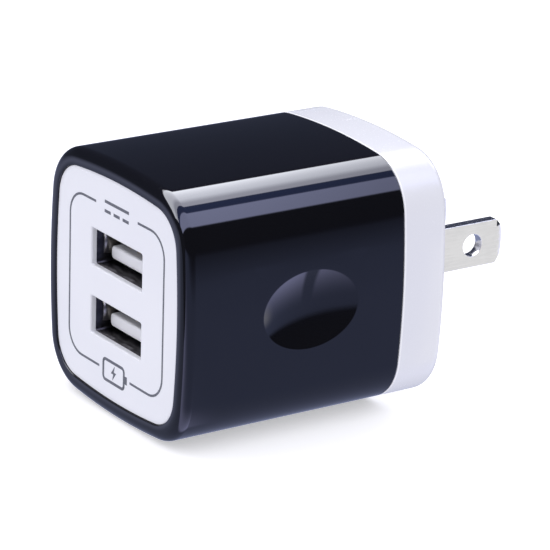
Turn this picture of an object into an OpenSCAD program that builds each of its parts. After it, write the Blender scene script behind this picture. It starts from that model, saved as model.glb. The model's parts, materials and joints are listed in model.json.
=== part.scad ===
// USB wall charger with two ports: a glossy sleeve between a white face plate and a white
// rear cap, two fixed flat mains blades, and the power supply inside.
// Millimetres. Origin at the centre of the rear face, midway between the blades.
// +Y runs along the blades into the outlet, +Z is up, and the ports open towards -Y.

/* [Body] */
// Width of the body
body_w = 35.2; // [34.6:0.1:38]
// Height of the body
body_h = 35.4; // [34.8:0.1:38]
// Depth from the front lip to the rear face
body_d = 41.5; // [41:0.1:46]
// Radius of the shallow bow in each side
bow_r = 105; // [90:5:200]
// Radius of the four long edges
corner_r = 7.5; // [7:0.1:8.5]
// Rounding of the front lip
lip_round = 1.5; // [0.8:0.1:1.6]
// Rounding of the rear edge of the cap
rear_round = 1.6; // [1:0.1:2.4]
// Width of the lip around the face plate
lip_w = 2.35; // [2.2:0.05:2.6]
// Depth of the rear cap that shows behind the sleeve
cap_d = 7.35; // [7:0.05:9]
// Wall of the sleeve
sleeve_wall = 1.9; // [1.7:0.1:2]

/* [Finger dishes] */
// Length of each dish along the body
dish_l = 15; // [10:0.5:18]
// Height of each dish
dish_h = 10.8; // [8:0.2:13]
// Depth of each dish
dish_deep = 1.3; // [0.8:0.1:1.6]
// Distance from the rear face to the middle of each dish
dish_back = 22.2; // [20:0.1:24]

/* [Blades] */
// Distance between the middles of the two blades
blade_pitch = 12.7; // [12.5:0.05:12.9]
// Thickness of a blade
blade_t = 1.5; // [1.4:0.05:1.6]
// Height of a blade
blade_h = 6.35; // [6.2:0.05:6.5]
// Length of a blade beyond the rear face
blade_l = 17.2; // [15.9:0.1:18.2]
// Diameter of the hole in a blade
blade_hole_d = 3.2; // [3:0.1:3.5]
// Distance from the rear face to the middle of the hole
blade_hole_y = 11.9; // [11.7:0.1:12.1]

/* [Ports] */
// Distance between the middles of the two ports
port_pitch = 9.5; // [9:0.1:10]
// Width of a port opening in the face plate
port_w = 12.6; // [12.5:0.05:12.8]
// Height of a port opening in the face plate
port_h = 5.15; // [5.1:0.05:5.2]
// Depth of the metal shell of a port
shell_l = 11.35; // [11:0.05:11.35]

/* [Power supply] */
// Thickness of the two circuit boards
board_t = 1.2; // [1:0.1:1.6]
// Diameter of the two mains side capacitors
input_cap_d = 8; // [6.5:0.5:8]
// Height of the two mains side capacitors
input_cap_h = 12; // [10:0.5:14]
// Diameter of the two low voltage capacitors
output_cap_d = 6.3; // [5:0.1:6.3]
// Height of the two low voltage capacitors
output_cap_h = 11; // [8:0.5:14]

/* [Hidden] */

$fn = 48;
eps = 0.01;
far = 100;

// arc steps in each half side and in each corner of the outline
side_steps = 3;
corner_steps = 8;
round_steps = 5;

// depth stations
front_y = -body_d;
seam_y = -cap_d;
plate_recess = 0.2;
plate_t = 1.6;
plate_y = front_y + plate_recess;
ledge_y = plate_y + plate_t;
ledge_t = 1;
ledge_w = 3.2;
cavity_y = ledge_y + ledge_t;

// face plate fit and its four snap legs
plate_gap = 0.06;
shell_pocket = 0.75;
leg_w = 4;
leg_t = 1.1;
leg_l = 3.4;
leg_gap = 0.3;
leg_x = 5;
hook_l = 0.9;
hook_lift = 0.7;

// rear cap: spigot inside the sleeve, floor, blade boss and snap ridges
cap_floor = 2.4;
spigot_l = 3;
spigot_gap = 0.08;
spigot_wall = 1.2;
spigot_in = sleeve_wall + spigot_gap + spigot_wall;
boss_l = 3.1;
boss_w = 4.5;
boss_h = 9.5;
ridge_l = 9;
ridge_t = 0.28;
ridge_w = 0.7;
ridge_clear = 0.06;

// board rails on the sleeve and the pads that back the dishes
rail_reach = 0.6;
rail_t = 1;
rail_gap = 0.05;
pad_t = 1.1;
pad_margin = 2;

// blade tip, shoulder and tail
tip_bow = 0.3;
tip_cut = 1;
tip_bevel = 0.42;
tip_bevel_l = 1.2;
tail_h = 4.4;
tail_y = -cap_floor - boss_l - 1;
slot_clear = 0.02;

// blade contacts: a leaf from each blade tail down to the main board
leaf_t = 0.4;
leaf_w = 3.4;
foot_l = 1.8;
leaf_bend = 0.8;

// ports
shell_wall = 0.3;
shell_w = 12.5;
shell_h = 5.12;
shell_y = plate_y + plate_t - shell_pocket;
shell_back = shell_y + shell_l;
shell_leg_w = 1.2;
shell_leg_l = 1.9;
window_w = 2.2;
window_l = 5;
window_x = 3.1;
tongue_w = 11.1;
tongue_t = 1.84;
tongue_recess = 1.8;
tongue_lift = 0.66;
tongue_block_l = 2;
tongue_chamfer = 0.45;
contact_w = 1;
contact_t = 0.25;
contact_sink = 0.08;
contact_back = 1.5;
contact_x = [-3.5, -1, 1, 3.5];
contact_pin_l = 0.7;

// boards
usb_board_y = shell_back;
usb_board_w = 25;
usb_board_top = 9.6;
board_top = -9.8;
board_w = 27.6;
board_front = usb_board_y - 0.6;
board_rear = -7;
board_neck_w = 24;
board_neck_y = seam_y - spigot_l - 0.3;
board_clear = 0.05;

// header pins between the boards
pin_t = 0.64;
pin_pitch = 2.54;
pin_count = 4;
pin_z = board_top + 1.3;
pin_front = usb_board_y - 0.5;
pin_rear = usb_board_y + board_t + 0.74;
pin_drop = 0.9;

// transformer, centred on its winding, the winding axis along Y
core_x = 5.6;
core_y = -14.75;
core_w = 12;
core_l = 10.4;
core_t = 4.8;
core_leg = 1.7;
core_post = 2.6;
bobbin_l = 6.9;
bobbin_gap = 0.05;
bobbin_wall = 0.6;
flange_t = 0.7;
flange_w = 8.4;
flange_h = 9.2;
winding_w = 7.2;
winding_h = 8.2;
tape_t = 0.2;
base_w = 11.6;
base_l = 2.5;
base_h = 3.7;
base_drop = 6.4;
core_z = board_top + base_drop;
core_pin_t = 0.6;
core_pin_pitch = 2.6;
core_pin_count = 4;
lead_drop = 0.9;

// leaded parts: [x, y] on the main board
input_cap_x = -9.1;
input_cap_ys = [-21.2, -13.1];
output_cap_xs = [3.2, 9.8];
output_cap_y = -23.9;
cap_groove = 0.25;
cap_groove_z = 1.6;
cap_foot = 0.25;
lead_r = 0.25;
lead_hole = 0.7;
disc_x = -3.2;
disc_y = -17.2;
disc_d = 7;
disc_t = 2.8;
disc_lift = 1;
disc_pitch = 4.6;
fuse_x = -2.9;
fuse_y = -10.8;
fuse_d = 2.6;
fuse_l = 4.6;
fuse_span = 6;
fuse_waist = 0.25;
opto_x = -2.5;
opto_y = -23.7;
opto_w = 4.6;
opto_l = 6.4;
opto_h = 3.4;
opto_pitch = 2.54;

// parts soldered under the main board: [x, y, size x, size y, height]
bridge = [-6.1, -11, 4.7, 4, 1.6];
chip = [5.6, -14.75, 4.9, 3.9, 1.5];
diode = [6.5, -23.4, 2.7, 4.6, 2.1];
resistor_spots = [[-11.2, -16.5], [-6.5, -16.5], [-6.5, -19.5], [0.2, -13], [0.2, -16.5], [10.6, -14.5]];
capacitor_spots = [[-2.5, -23.7], [-6, -24], [1, -21.3], [11.2, -17.2]];
chip_resistor = [2, 1.25, 0.5];
chip_capacitor = [2, 1.25, 0.9];
lead_t = 0.2;
board_under = board_top - board_t;

// ---- shared geometry ----

function arc(cx, cz, r, from, to, steps) =
    [for (i = [0 : steps]) let (a = from + (to - from) * i / steps) [cx + r * cos(a), cz + r * sin(a)]];

function tail(points) = [for (i = [1 : len(points) - 1]) points[i]];

// a quarter of the body outline, moved inwards by inset: bowed side, round corner, bowed side
function quarter(inset) =
    let (
        ax = body_w / 2 - bow_r,
        bz = body_h / 2 - bow_r,
        span = sqrt(ax * ax + bz * bz),
        lift = sqrt(pow(bow_r - corner_r, 2) - span * span / 4),
        cx = ax / 2 - lift * bz / span,
        cz = bz / 2 - lift * ax / span,
        turn_side = atan2(cz, cx - ax),
        turn_top = atan2(cz - bz, cx)
    )
    concat(
        arc(ax, 0, bow_r - inset, 0, turn_side, side_steps),
        tail(arc(cx, cz, corner_r - inset, turn_side, turn_top, corner_steps)),
        tail(arc(0, bz, bow_r - inset, turn_top, 90, side_steps))
    );

function ring(inset) =
    let (q = quarter(inset), last = len(q) - 1)
    concat(
        q,
        [for (i = [last - 1 : -1 : 0]) [-q[i].x, q[i].y]],
        [for (i = [1 : last]) [-q[i].x, -q[i].y]],
        [for (i = [last - 1 : -1 : 1]) [q[i].x, -q[i].y]]
    );

// straight prism on the body outline between two depths
module prism(inset, y0, y1) {
    translate([0, y1, 0]) rotate([90, 0, 0]) linear_extrude(y1 - y0) polygon(ring(inset));
}

// closed loft through body outlines, each given as [inset, y] from front to rear
module loft(stations) {
    n = len(ring(0));
    last = len(stations) - 1;
    points = [for (s = stations) for (p = ring(s[0])) [p.x, s[1], p.y]];
    sides = [for (k = [0 : last - 1]) for (j = [0 : n - 1])
        [k * n + j, k * n + (j + 1) % n, (k + 1) * n + (j + 1) % n, (k + 1) * n + j]];
    front = [for (j = [n - 1 : -1 : 0]) j];
    rear = [for (j = [0 : n - 1]) last * n + j];
    polyhedron(points, concat(sides, [front, rear]));
}

// box given by its centre on X and Z and by its two depths
module bar(x, z, w, h, y0, y1) {
    translate([x - w / 2, y0, z - h / 2]) cube([w, y1 - y0, h]);
}

// cube centred on X and Y that stands on z
module block(x, y, z, size) {
    translate([x - size.x / 2, y - size.y / 2, z]) cube(size);
}

module at_ports() {
    for (side = [-1, 1]) translate([0, 0, side * port_pitch / 2]) children();
}

// ---- casing ----

// radius of the arc with this chord and rise
function arc_radius(chord, rise) = (chord * chord / 4 + rise * rise) / (2 * rise);

// the dish is cut by a ring with an arc for its section, so its rim is an oval on the side
module dish() {
    side_fall = bow_r - sqrt(bow_r * bow_r - dish_h * dish_h / 4);
    round_h = arc_radius(dish_h, dish_deep - side_fall);
    round_l = arc_radius(dish_l, dish_deep);
    translate([body_w / 2 + round_h - dish_deep, -dish_back, 0]) rotate([90, 0, 0])
        rotate_extrude($fn = 96) intersection() {
            translate([round_h - round_l, 0]) circle(round_l, $fn = 96);
            translate([round_h - 3 * dish_deep, -dish_l]) square([4 * dish_deep, 2 * dish_l]);
        }
}

// two ribs on each side wall hold an edge of the main board
module rails() {
    reach = body_w / 2 - sleeve_wall + eps;
    for (side = [0, 1]) mirror([side, 0, 0])
        for (z = [board_top + rail_gap, board_under - rail_gap - rail_t])
            translate([board_w / 2 - rail_reach, board_front, z])
                cube([reach - board_w / 2 + rail_reach, seam_y - spigot_l - 0.5 - board_front, rail_t]);
}

module dish_pads() {
    for (side = [0, 1]) mirror([side, 0, 0])
        bar(body_w / 2 - sleeve_wall - pad_t / 2, 0, pad_t + 2 * eps, dish_h + pad_margin,
            -dish_back - dish_l / 2 - pad_margin / 2, -dish_back + dish_l / 2 + pad_margin / 2);
}

// snap ridges on the four sides of the spigot, grown by extra to cut their notches
module snap_ridges(extra) {
    mid = seam_y - spigot_l / 2;
    reach = sleeve_wall + spigot_gap;
    for (side = [-1, 1]) {
        bar(side * (body_w / 2 - reach), 0, 2 * (ridge_t + extra), ridge_l + 2 * extra,
            mid - ridge_w / 2 - extra, mid + ridge_w / 2 + extra);
        bar(0, side * (body_h / 2 - reach), ridge_l + 2 * extra, 2 * (ridge_t + extra),
            mid - ridge_w / 2 - extra, mid + ridge_w / 2 + extra);
    }
}

module sleeve() {
    color("#15161f") difference() {
        union() {
            difference() {
                loft(concat(
                    [for (i = [0 : round_steps]) let (a = 90 * i / round_steps)
                        [lip_round * (1 - sin(a)), front_y + lip_round * (1 - cos(a))]],
                    [[0, seam_y]]
                ));
                prism(lip_w, front_y - 1, ledge_y);
                prism(ledge_w, ledge_y - eps, cavity_y + eps);
                prism(sleeve_wall, cavity_y, seam_y + 1);
            }
            intersection() {
                prism(sleeve_wall / 2, cavity_y, seam_y);
                union() {
                    rails();
                    dish_pads();
                }
            }
        }
        for (side = [0, 1]) mirror([side, 0, 0]) dish();
        snap_ridges(ridge_clear);
    }
}

module snap_leg() {
    top = body_h / 2 - ledge_w - leg_gap;
    bar(0, top - leg_t / 2, leg_w, leg_t, ledge_y - eps, ledge_y + leg_l);
    translate([-leg_w / 2, cavity_y + 0.1, top - eps]) rotate([90, 0, 90])
        linear_extrude(leg_w) polygon([[0, 0], [hook_l / 3, hook_lift], [hook_l, 0]]);
}

module face_plate() {
    color("#f4f5f8") {
        difference() {
            prism(lip_w + plate_gap, plate_y, ledge_y);
            at_ports() {
                bar(0, 0, port_w, port_h, plate_y - 1, ledge_y + 1);
                bar(0, 0, shell_w + 2 * shell_wall + 2 * plate_gap, shell_h + 2 * shell_wall + 2 * plate_gap,
                    shell_y, ledge_y + 1);
            }
        }
        for (side = [0, 1]) mirror([0, 0, side])
            for (x = [-leg_x, leg_x]) translate([x, 0, 0]) snap_leg();
    }
}

module rear_cap() {
    pitch = blade_pitch / 2;
    color("#f0f1f6") difference() {
        union() {
            difference() {
                union() {
                    loft(concat(
                        [[0, seam_y]],
                        [for (i = [0 : round_steps]) let (a = 90 * i / round_steps)
                            [rear_round * (1 - cos(a)), -rear_round * (1 - sin(a))]]
                    ));
                    prism(sleeve_wall + spigot_gap, seam_y - spigot_l, seam_y + eps);
                }
                prism(spigot_in, seam_y - spigot_l - 1, -cap_floor);
            }
            for (side = [-1, 1])
                bar(side * pitch, 0, boss_w, boss_h, -cap_floor - boss_l, -cap_floor + eps);
            snap_ridges(0);
        }
        for (side = [-1, 1])
            bar(side * pitch, 0, blade_t + slot_clear, blade_h + slot_clear, -cap_floor - boss_l - 1, 1);
    }
}

// ---- mains side ----

// side view of a blade: narrow tail, full height body, cut corners and a bowed tip
function blade_outline() =
    let (
        half = blade_h / 2,
        flat = half - tip_cut,
        bow = (flat * flat + tip_bow * tip_bow) / (2 * tip_bow),
        turn = asin(flat / bow)
    )
    concat(
        [[tail_y, tail_h / 2], [tail_y, -tail_h / 2], [-cap_floor - boss_l, -tail_h / 2],
         [-cap_floor - boss_l, -half], [blade_l - tip_bow - tip_cut, -half]],
        arc(blade_l - bow, 0, bow, -turn, turn, 8),
        [[blade_l - tip_bow - tip_cut, half], [-cap_floor - boss_l, half], [-cap_floor - boss_l, tail_h / 2]]
    );

module blade(side) {
    color("#d4d4d8") translate([side * blade_pitch / 2, 0, 0]) difference() {
        translate([-blade_t / 2, 0, 0]) rotate([90, 0, 90]) linear_extrude(blade_t) polygon(blade_outline());
        translate([0, blade_hole_y, 0]) rotate([0, 90, 0])
            cylinder(h = 2 * blade_t, r = blade_hole_d / 2, center = true);
        for (face = [0, 1]) mirror([face, 0, 0]) translate([0, 0, -blade_h]) linear_extrude(2 * blade_h)
            polygon([[blade_t / 2 + eps, blade_l - tip_bevel_l], [blade_t / 2 - tip_bevel, blade_l + eps],
                     [blade_t, blade_l + eps], [blade_t, blade_l - tip_bevel_l]]);
    }
}

// bent leaf from the blade tail down to its foot on the main board
module blade_contact(side) {
    y0 = tail_y;
    y1 = y0 - leaf_t;
    inner = leaf_bend - leaf_t;
    outer_bend = arc(y1 - inner, board_top + leaf_bend, leaf_bend, 0, -90, 6);
    inner_bend = arc(y1 - inner, board_top + leaf_bend, inner, -90, 0, 6);
    color("#c9a45c") translate([side * blade_pitch / 2 - leaf_w / 2, 0, 0]) rotate([90, 0, 90])
        linear_extrude(leaf_w) polygon(concat(
            [[y1, tail_h / 2], [y0, tail_h / 2]],
            outer_bend,
            [[y1 - foot_l, board_top], [y1 - foot_l, board_top + leaf_t]],
            inner_bend
        ));
}

// ---- ports ----

module usb_shell(z) {
    out_w = shell_w + 2 * shell_wall;
    out_h = shell_h + 2 * shell_wall;
    color("#8f9096") translate([0, 0, z]) {
        difference() {
            bar(0, 0, out_w, out_h, shell_y, shell_back);
            bar(0, 0, shell_w, shell_h, shell_y - 1, shell_back + 1);
            for (x = [-window_x, window_x])
                bar(x, 0, window_w, 2 * out_h, shell_y + 2.5, shell_y + 2.5 + window_l);
        }
        for (x = [-1, 1]) for (lift = [-1, 1])
            bar(x * (out_w - shell_wall) / 2, lift * shell_h / 4, shell_wall, shell_leg_w,
                shell_back - eps, shell_back + shell_leg_l);
    }
}

tongue_z = tongue_lift - shell_h / 2;
tongue_front = shell_y + tongue_recess;
contact_y = tongue_front + contact_back;
contact_z = tongue_z + tongue_t - contact_sink;

// four flat strips, half sunk in the tongue, between two depths
module contact_strips(y0, y1) {
    for (x = contact_x) translate([x - contact_w / 2, y0, contact_z]) cube([contact_w, y1 - y0, contact_t]);
}

module usb_tongue(z) {
    block_y = shell_back - tongue_block_l;
    edge = tongue_chamfer;
    color("#f2f2f0") translate([0, 0, z]) difference() {
        union() {
            translate([-tongue_w / 2, 0, tongue_z]) rotate([90, 0, 90]) linear_extrude(tongue_w)
                polygon([[tongue_front + edge, 0], [block_y + eps, 0], [block_y + eps, tongue_t],
                         [tongue_front + edge, tongue_t], [tongue_front, tongue_t - edge], [tongue_front, edge]]);
            bar(0, 0, shell_w - 2 * board_clear, shell_h - 2 * board_clear, block_y, shell_back);
        }
        contact_strips(contact_y, shell_back + 1);
    }
}

module usb_contacts(z) {
    color("#c8a24a") translate([0, 0, z])
        contact_strips(contact_y, shell_back + board_t + contact_pin_l);
}

// ---- boards ----

module usb_board() {
    height = usb_board_top - board_top;
    color("#1f6b3a") difference() {
        bar(0, usb_board_top - height / 2, usb_board_w, height, usb_board_y, usb_board_y + board_t);
        at_ports() {
            for (x = contact_x)
                bar(x, contact_z + contact_t / 2, contact_w + 2 * board_clear, contact_t + 2 * board_clear,
                    usb_board_y - 1, usb_board_y + board_t + 1);
            for (x = [-1, 1]) for (lift = [-1, 1])
                bar(x * (shell_w + shell_wall) / 2, lift * shell_h / 4, shell_wall + 2 * board_clear,
                    shell_leg_w + 2 * board_clear, usb_board_y - 1, usb_board_y + board_t + 1);
        }
        for (i = [0 : pin_count - 1])
            bar(pin_x(i), pin_z, pin_t + 2 * board_clear, pin_t + 2 * board_clear,
                usb_board_y - 1, usb_board_y + board_t + 1);
    }
}

function pin_x(i) = (i - (pin_count - 1) / 2) * pin_pitch;

module header_pins() {
    color("#d8b65a") for (i = [0 : pin_count - 1]) {
        bar(pin_x(i), pin_z, pin_t, pin_t, pin_front, pin_rear);
        bar(pin_x(i), (pin_z + pin_t / 2 + board_under - pin_drop) / 2, pin_t,
            pin_z + pin_t / 2 - board_under + pin_drop, pin_rear - pin_t, pin_rear);
    }
}

// one square hole through the main board for each lead
function lead_spots() = concat(
    [for (y = input_cap_ys) for (s = [-1, 1]) [input_cap_x, y + s * lead_pitch(input_cap_d)]],
    [for (x = output_cap_xs) for (s = [-1, 1]) [x + s * lead_pitch(output_cap_d), output_cap_y]],
    [for (s = [-1, 1]) [disc_x, disc_y + s * disc_pitch / 2]],
    [for (s = [-1, 1]) [fuse_x, fuse_y + s * fuse_span / 2]],
    [for (sx = [-1, 1]) for (sy = [-1, 1]) [opto_x + sy * opto_pitch / 2, opto_y + sx * opto_l / 2]],
    [for (s = [-1, 1]) for (i = [0 : core_pin_count - 1]) core_pin(s, i)],
    [for (i = [0 : pin_count - 1]) [pin_x(i), pin_rear - pin_t / 2]]
);

function lead_pitch(d) = d * 0.22;

function core_pin(s, i) =
    [core_x + (i - (core_pin_count - 1) / 2) * core_pin_pitch, core_y + s * (bobbin_l + base_l) / 2];

module main_board() {
    color("#1f6b3a") difference() {
        union() {
            translate([-board_w / 2, board_front, board_under]) cube([board_w, board_neck_y - board_front, board_t]);
            translate([-board_neck_w / 2, board_neck_y - eps, board_under])
                cube([board_neck_w, board_rear - board_neck_y + eps, board_t]);
        }
        for (spot = lead_spots())
            block(spot.x, spot.y, board_under - 1, [lead_hole + 2 * board_clear, lead_hole + 2 * board_clear, board_t + 2]);
    }
}

// ---- transformer ----

// one E-shaped half of the core; half = -1 is the front one
module core_half(half) {
    window_h = (core_w / 2 - core_leg) - core_post / 2;
    color("#3a3a3d") translate([core_x, core_y, core_z]) mirror([0, half < 0 ? 1 : 0, 0]) difference() {
        translate([-core_w / 2, 0, -core_t / 2]) cube([core_w, core_l / 2, core_t]);
        for (side = [-1, 1])
            translate([side * (core_post + window_h) / 2 - window_h / 2, -1, -core_t])
                cube([window_h, core_l / 2 - core_leg + 1, 2 * core_t]);
    }
}

module rect_tube(w, h, inner_w, inner_h, l) {
    difference() {
        bar(0, 0, w, h, -l / 2, l / 2);
        bar(0, 0, inner_w, inner_h, -l, l);
    }
}

tube_w = core_post + 2 * (bobbin_gap + bobbin_wall);
tube_h = core_t + 2 * (bobbin_gap + bobbin_wall);

module transformer_bobbin() {
    inner_w = core_post + 2 * bobbin_gap;
    inner_h = core_t + 2 * bobbin_gap;
    color("#26262a") translate([core_x, core_y, core_z]) {
        rect_tube(tube_w, tube_h, inner_w, inner_h, bobbin_l);
        for (s = [-1, 1]) {
            translate([0, s * (bobbin_l - flange_t) / 2, 0]) rect_tube(flange_w, flange_h, inner_w, inner_h, flange_t);
            translate([-base_w / 2, s * (bobbin_l + base_l) / 2 - base_l / 2, -base_drop])
                cube([base_w, base_l, base_h]);
            translate([-flange_w / 2, s * (bobbin_l - flange_t) / 2 - flange_t / 2, -base_drop])
                cube([flange_w, flange_t, base_h]);
        }
    }
}

module transformer_winding() {
    color("#b5652b") translate([core_x, core_y, core_z])
        rect_tube(winding_w, winding_h, tube_w + eps, tube_h + eps, bobbin_l - 2 * flange_t - 2 * bobbin_gap);
}

module transformer_tape() {
    color("#e3c23a") translate([core_x, core_y, core_z])
        rect_tube(winding_w + 2 * tape_t, winding_h + 2 * tape_t, winding_w + eps, winding_h + eps,
            bobbin_l - 2 * flange_t - 4 * bobbin_gap);
}

module transformer_pins() {
    color("#cfcfd2") for (s = [-1, 1]) for (i = [0 : core_pin_count - 1])
        block(core_pin(s, i).x, core_pin(s, i).y, board_under - lead_drop,
            [core_pin_t, core_pin_t, board_t + lead_drop]);
}

// ---- leaded parts ----

// can with a crimped groove, standing on the board at [x, y]; leads lie along the given turn
module can_capacitor(x, y, d, h, turn, tint) {
    r = d / 2;
    g = cap_groove;
    color(tint) translate([x, y, board_top]) rotate([0, 0, turn]) {
        rotate_extrude() polygon([
            [0, 0], [r - cap_foot, 0], [r, cap_foot], [r, cap_groove_z - g], [r - g, cap_groove_z],
            [r, cap_groove_z + g], [r, h - cap_foot], [r - cap_foot, h], [0, h]
        ]);
        for (s = [-1, 1])
            translate([s * lead_pitch(d), 0, -board_t - lead_drop])
                cylinder(h = board_t + lead_drop + eps, r = lead_r, $fn = 16);
    }
}

// blue disc standing on edge across the isolation gap
module safety_capacitor() {
    color("#2f62b5") translate([disc_x, disc_y, board_top]) {
        translate([0, 0, disc_lift + disc_d / 2]) rotate([0, 90, 0]) rotate_extrude() polygon([
            [0, -disc_t / 2], [disc_d / 2 - disc_t / 4, -disc_t / 2], [disc_d / 2, -disc_t / 5],
            [disc_d / 2, disc_t / 5], [disc_d / 2 - disc_t / 4, disc_t / 2], [0, disc_t / 2]
        ]);
        for (s = [-1, 1])
            translate([0, s * disc_pitch / 2, -board_t - lead_drop])
                cylinder(h = board_t + lead_drop + disc_lift + disc_d / 4, r = lead_r, $fn = 16);
    }
}

// resistor lying along Y, with bent leads
module fuse_resistor() {
    r = fuse_d / 2;
    w = fuse_waist;
    cap_l = fuse_l / 4;
    z = r + 0.3;
    color("#7fa8a0") translate([fuse_x, fuse_y, board_top]) {
        translate([0, 0, z]) rotate([90, 0, 0]) rotate_extrude() polygon([
            [0, -fuse_l / 2], [r - w, -fuse_l / 2], [r, -fuse_l / 2 + w], [r, -fuse_l / 2 + cap_l],
            [r - w, -fuse_l / 2 + cap_l + w], [r - w, fuse_l / 2 - cap_l - w], [r, fuse_l / 2 - cap_l],
            [r, fuse_l / 2 - w], [r - w, fuse_l / 2], [0, fuse_l / 2]
        ]);
        for (s = [-1, 1]) {
            translate([0, s * (fuse_l / 2 + (fuse_span - fuse_l) / 4), z]) rotate([90, 0, 0])
                cylinder(h = (fuse_span - fuse_l) / 2 + 2 * lead_r, r = lead_r, center = true, $fn = 16);
            translate([0, s * fuse_span / 2, -board_t - lead_drop])
                cylinder(h = board_t + lead_drop + z, r = lead_r, $fn = 16);
        }
    }
}

module optocoupler() {
    color("#ececea") {
        block(opto_x, opto_y, board_top + 0.3, [opto_w, opto_l - 0.6, opto_h]);
        for (sx = [-1, 1]) for (sy = [-1, 1])
            block(opto_x + sx * opto_pitch / 2, opto_y + sy * (opto_l / 2 - 0.15), board_under - lead_drop,
                [0.5, 0.35, board_t + lead_drop + 1.8]);
    }
}

// ---- parts under the main board ----

// moulded body with flat leads on two sides; spec is [x, y, size x, size y, height]
module surface_part(spec, lead_count, tint) {
    x = spec[0];
    y = spec[1];
    body_z = board_under - spec[4];
    reach = 0.7;
    color(tint) {
        block(x, y, body_z, [spec[2], spec[3], spec[4] - lead_t / 2]);
        for (i = [0 : lead_count - 1]) for (s = [-1, 1])
            block(x + (i - (lead_count - 1) / 2) * spec[2] / lead_count, y + s * (spec[3] + reach) / 2,
                board_under - lead_t, [spec[2] / lead_count / 2.5, reach + 0.4, lead_t]);
    }
}

module bridge_rectifier() {
    surface_part(bridge, 2, "#1d1d20");
}

module controller_chip() {
    surface_part(chip, 4, "#1d1d20");
}

module output_diode() {
    surface_part(diode, 1, "#1d1d20");
}

// a row of small rectangular parts soldered flat on the board
module chip_parts(spots, size, tint) {
    color(tint) for (spot = spots)
        block(spot.x, spot.y, board_under - size.z, size);
}

module chip_resistors() {
    chip_parts(resistor_spots, chip_resistor, "#222326");
}

module chip_capacitors() {
    chip_parts(capacitor_spots, chip_capacitor, "#b08a5c");
}

sleeve();
face_plate();
rear_cap();
blade(-1);  // blade_left
blade(1);  // blade_right
blade_contact(-1);  // blade_contact_left
blade_contact(1);  // blade_contact_right
usb_shell(port_pitch / 2);  // usb_shell_upper
usb_shell(-port_pitch / 2);  // usb_shell_lower
usb_tongue(port_pitch / 2);  // usb_tongue_upper
usb_tongue(-port_pitch / 2);  // usb_tongue_lower
usb_contacts(port_pitch / 2);  // usb_contacts_upper
usb_contacts(-port_pitch / 2);  // usb_contacts_lower
usb_board();
main_board();
header_pins();
core_half(-1);  // transformer_core_front
core_half(1);  // transformer_core_rear
transformer_bobbin();
transformer_winding();
transformer_tape();
transformer_pins();
can_capacitor(input_cap_x, input_cap_ys[0], input_cap_d, input_cap_h, 90, "#27304a");  // input_capacitor_front
can_capacitor(input_cap_x, input_cap_ys[1], input_cap_d, input_cap_h, 90, "#27304a");  // input_capacitor_rear
can_capacitor(output_cap_xs[0], output_cap_y, output_cap_d, output_cap_h, 0, "#3a2a55");  // output_capacitor_left
can_capacitor(output_cap_xs[1], output_cap_y, output_cap_d, output_cap_h, 0, "#3a2a55");  // output_capacitor_right
safety_capacitor();
fuse_resistor();
optocoupler();
bridge_rectifier();
controller_chip();
output_diode();
chip_resistors();
chip_capacitors();
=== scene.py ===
import json
import math

import bmesh
import bpy
from mathutils import Matrix, Vector

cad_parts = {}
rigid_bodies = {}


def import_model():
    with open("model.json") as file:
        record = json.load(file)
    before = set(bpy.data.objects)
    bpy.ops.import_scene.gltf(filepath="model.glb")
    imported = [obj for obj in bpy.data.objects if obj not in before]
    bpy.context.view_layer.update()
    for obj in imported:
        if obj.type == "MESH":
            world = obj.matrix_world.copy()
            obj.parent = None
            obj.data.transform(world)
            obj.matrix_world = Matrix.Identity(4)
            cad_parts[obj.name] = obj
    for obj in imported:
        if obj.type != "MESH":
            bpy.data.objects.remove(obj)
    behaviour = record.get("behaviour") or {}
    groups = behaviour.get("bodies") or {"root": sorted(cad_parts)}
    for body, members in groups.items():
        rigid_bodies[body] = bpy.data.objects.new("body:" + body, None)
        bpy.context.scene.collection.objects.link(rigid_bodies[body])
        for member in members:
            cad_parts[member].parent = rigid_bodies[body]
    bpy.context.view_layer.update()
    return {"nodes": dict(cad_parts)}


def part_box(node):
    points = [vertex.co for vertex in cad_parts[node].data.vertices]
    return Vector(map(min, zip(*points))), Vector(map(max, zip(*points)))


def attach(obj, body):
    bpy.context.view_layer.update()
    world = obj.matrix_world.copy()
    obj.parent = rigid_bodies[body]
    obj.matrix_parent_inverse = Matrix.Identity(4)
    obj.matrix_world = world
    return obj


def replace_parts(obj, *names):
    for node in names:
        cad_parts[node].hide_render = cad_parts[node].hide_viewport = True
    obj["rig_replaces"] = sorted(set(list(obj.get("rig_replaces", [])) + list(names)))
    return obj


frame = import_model()
print("frame loaded:", len(frame["nodes"]), "nodes")


# shapes are worked in millimetres and scaled to metres at the end
def boxOf(node):
    low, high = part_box(node)
    return low * 1000, high * 1000


sleeveLow, sleeveHigh = boxOf("sleeve")

casing = {
    "width": sleeveHigh.x - sleeveLow.x,
    "height": sleeveHigh.z - sleeveLow.z,
    "front": sleeveLow.y,
    "seam": sleeveHigh.y,
    "bowRadius": 105.0,
    "cornerRadius": 7.5,
    "sideSteps": 20,
    "cornerSteps": 22,
    "lipWidth": 2.35,
    "wall": 1.9,
    "plateGap": 0.06,
}


def outlineArcs():
    # centres and turns of the three arcs in a quarter of the body outline
    ax = casing["width"] / 2 - casing["bowRadius"]
    bz = casing["height"] / 2 - casing["bowRadius"]
    span = math.hypot(ax, bz)
    lift = math.sqrt((casing["bowRadius"] - casing["cornerRadius"]) ** 2 - span * span / 4)
    cx = ax / 2 - lift * bz / span
    cz = bz / 2 - lift * ax / span
    return ax, bz, cx, cz, math.atan2(cz, cx - ax), math.atan2(cz - bz, cx)


def sweep(bm, vert, centre, angle, steps):
    # spins one vertex about a line along Y, leaving an arc of edges
    made = bmesh.ops.spin(bm, geom=[vert], cent=centre, axis=(0, -1, 0), dvec=(0, 0, 0),
                          angle=angle, steps=steps, use_merge=False)
    return vertsIn(made["geom_last"])[0]


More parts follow.
